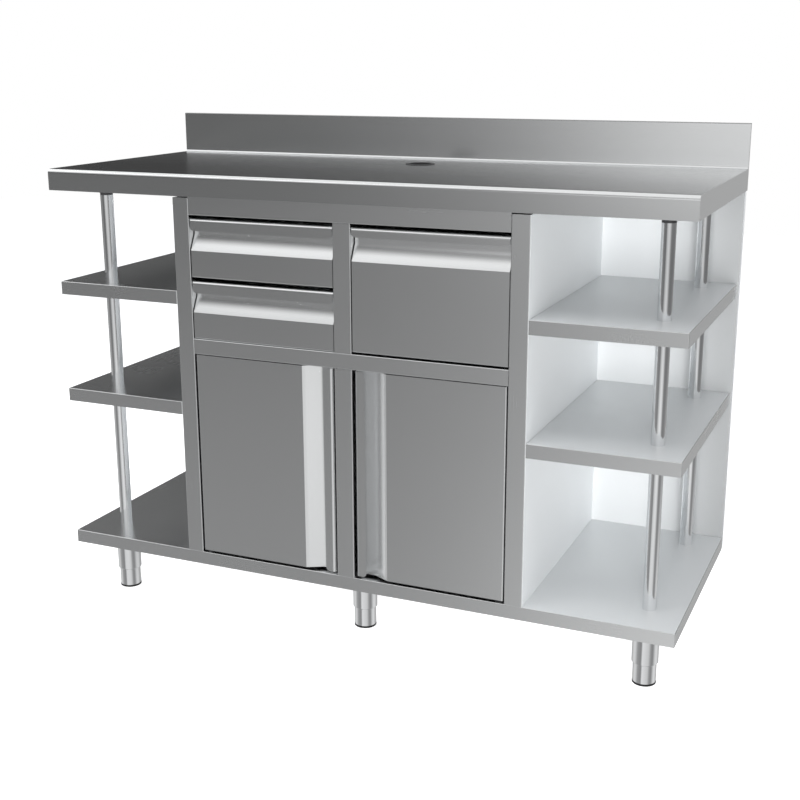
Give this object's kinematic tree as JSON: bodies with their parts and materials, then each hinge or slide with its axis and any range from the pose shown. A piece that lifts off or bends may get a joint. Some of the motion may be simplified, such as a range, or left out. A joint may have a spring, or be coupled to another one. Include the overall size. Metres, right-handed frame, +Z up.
{
  "type": "waiter service station",
  "caption": "Free-standing stainless-steel service counter with an upstand, drawers over cupboard doors in the middle, open shelf bays on tube posts at the ends and adjustable feet.",
  "frame": {"origin": "on the floor, under the middle of the counter's length and depth", "axes": "+X to the viewer's right along the length, +Y to the back (the upstand), +Z up; the front faces -Y"},
  "size_m": [1.5, 0.6, 1.1705],
  "materials": {
    "worktop_steel": "satin",
    "body_steel": "satin",
    "front_steel": "satin",
    "tube_steel": "polished",
    "zinc_steel": "zinc plated",
    "black_plastic": "matte",
    "black_rubber": "matte"
  },
  "bodies": {
    "counter": {"worktop": "worktop_steel", "worktop_stiffeners": "body_steel", "hose_grommet": "black_plastic", "back_panel": "body_steel", "base_shelf": "body_steel", "base_channels": "body_steel", "left_upper_shelf": "body_steel", "left_lower_shelf": "body_steel", "right_upper_shelf": "body_steel", "right_lower_shelf": "body_steel", "front_left_post": "tube_steel", "rear_left_post": "tube_steel", "front_right_post": "tube_steel", "rear_right_post": "tube_steel", "post_top_bushes": "black_plastic", "post_tie_rods": "zinc_steel", "tie_rod_nuts": "zinc_steel", "left_carcass_side": "body_steel", "right_carcass_side": "body_steel", "top_rail": "body_steel", "mid_rail": "body_steel", "centre_mullion": "body_steel", "left_drawer_housing": "body_steel", "right_drawer_housing": "body_steel", "upper_drawer_outer_runners": "zinc_steel", "lower_drawer_outer_runners": "zinc_steel", "deep_drawer_outer_runners": "zinc_steel", "door_pivot_bushes": "black_plastic", "door_catches": "black_plastic", "foot_sleeves": "tube_steel"},
    "upper_drawer": {"upper_drawer_front": "front_steel", "upper_drawer_box": "body_steel", "upper_drawer_inner_runners": "zinc_steel"},
    "upper_runner": {"upper_drawer_middle_runners": "zinc_steel"},
    "lower_drawer": {"lower_drawer_front": "front_steel", "lower_drawer_box": "body_steel", "lower_drawer_inner_runners": "zinc_steel"},
    "lower_runner": {"lower_drawer_middle_runners": "zinc_steel"},
    "deep_drawer": {"deep_drawer_front": "front_steel", "deep_drawer_box": "body_steel", "deep_drawer_inner_runners": "zinc_steel"},
    "deep_runner": {"deep_drawer_middle_runners": "zinc_steel"},
    "left_door": {"left_door_skin": "front_steel", "left_door_liner": "body_steel", "left_door_pivot_pins": "zinc_steel"},
    "right_door": {"right_door_skin": "front_steel", "right_door_liner": "body_steel", "right_door_pivot_pins": "zinc_steel"},
    "front_left_foot": {"front_left_foot_cup": "tube_steel", "front_left_foot_pad": "black_rubber"},
    "front_middle_foot": {"front_middle_foot_cup": "tube_steel", "front_middle_foot_pad": "black_rubber"},
    "front_right_foot": {"front_right_foot_cup": "tube_steel", "front_right_foot_pad": "black_rubber"},
    "rear_left_foot": {"rear_left_foot_cup": "tube_steel", "rear_left_foot_pad": "black_rubber"},
    "rear_middle_foot": {"rear_middle_foot_cup": "tube_steel", "rear_middle_foot_pad": "black_rubber"},
    "rear_right_foot": {"rear_right_foot_cup": "tube_steel", "rear_right_foot_pad": "black_rubber"}
  },
  "joints": [
    {"name": "upper_drawer_slide", "type": "slide", "parent": "counter", "child": "upper_drawer", "axis": [0, -1, 0], "range_m": [0, 0.4]},
    {"name": "upper_runner_slide", "type": "slide", "parent": "counter", "child": "upper_runner", "axis": [0, -1, 0], "range_m": [0, 0.2]},
    {"name": "lower_drawer_slide", "type": "slide", "parent": "counter", "child": "lower_drawer", "axis": [0, -1, 0], "range_m": [0, 0.4]},
    {"name": "lower_runner_slide", "type": "slide", "parent": "counter", "child": "lower_runner", "axis": [0, -1, 0], "range_m": [0, 0.2]},
    {"name": "deep_drawer_slide", "type": "slide", "parent": "counter", "child": "deep_drawer", "axis": [0, -1, 0], "range_m": [0, 0.4]},
    {"name": "deep_runner_slide", "type": "slide", "parent": "counter", "child": "deep_runner", "axis": [0, -1, 0], "range_m": [0, 0.2]},
    {"name": "left_door_hinge", "type": "hinge", "parent": "counter", "child": "left_door", "pos_m": [-0.3645, -0.27775, 0.4176], "axis": [0, 0, -1], "range_deg": [0, 105]},
    {"name": "right_door_hinge", "type": "hinge", "parent": "counter", "child": "right_door", "pos_m": [0.3645, -0.27775, 0.4176], "axis": [0, 0, 1], "range_deg": [0, 105]},
    {"name": "front_left_foot_screw", "type": "slide", "parent": "counter", "child": "front_left_foot", "axis": [0, 0, -1], "range_m": [0, 0.05]},
    {"name": "front_middle_foot_screw", "type": "slide", "parent": "counter", "child": "front_middle_foot", "axis": [0, 0, -1], "range_m": [0, 0.05]},
    {"name": "front_right_foot_screw", "type": "slide", "parent": "counter", "child": "front_right_foot", "axis": [0, 0, -1], "range_m": [0, 0.05]},
    {"name": "rear_left_foot_screw", "type": "slide", "parent": "counter", "child": "rear_left_foot", "axis": [0, 0, -1], "range_m": [0, 0.05]},
    {"name": "rear_middle_foot_screw", "type": "slide", "parent": "counter", "child": "rear_middle_foot", "axis": [0, 0, -1], "range_m": [0, 0.05]},
    {"name": "rear_right_foot_screw", "type": "slide", "parent": "counter", "child": "rear_right_foot", "axis": [0, 0, -1], "range_m": [0, 0.05]}
  ],
  "couplings": [
    {"joint": "upper_runner_slide", "follows": "upper_drawer_slide", "ratio": 0.5},
    {"joint": "lower_runner_slide", "follows": "lower_drawer_slide", "ratio": 0.5},
    {"joint": "deep_runner_slide", "follows": "deep_drawer_slide", "ratio": 0.5}
  ]
}
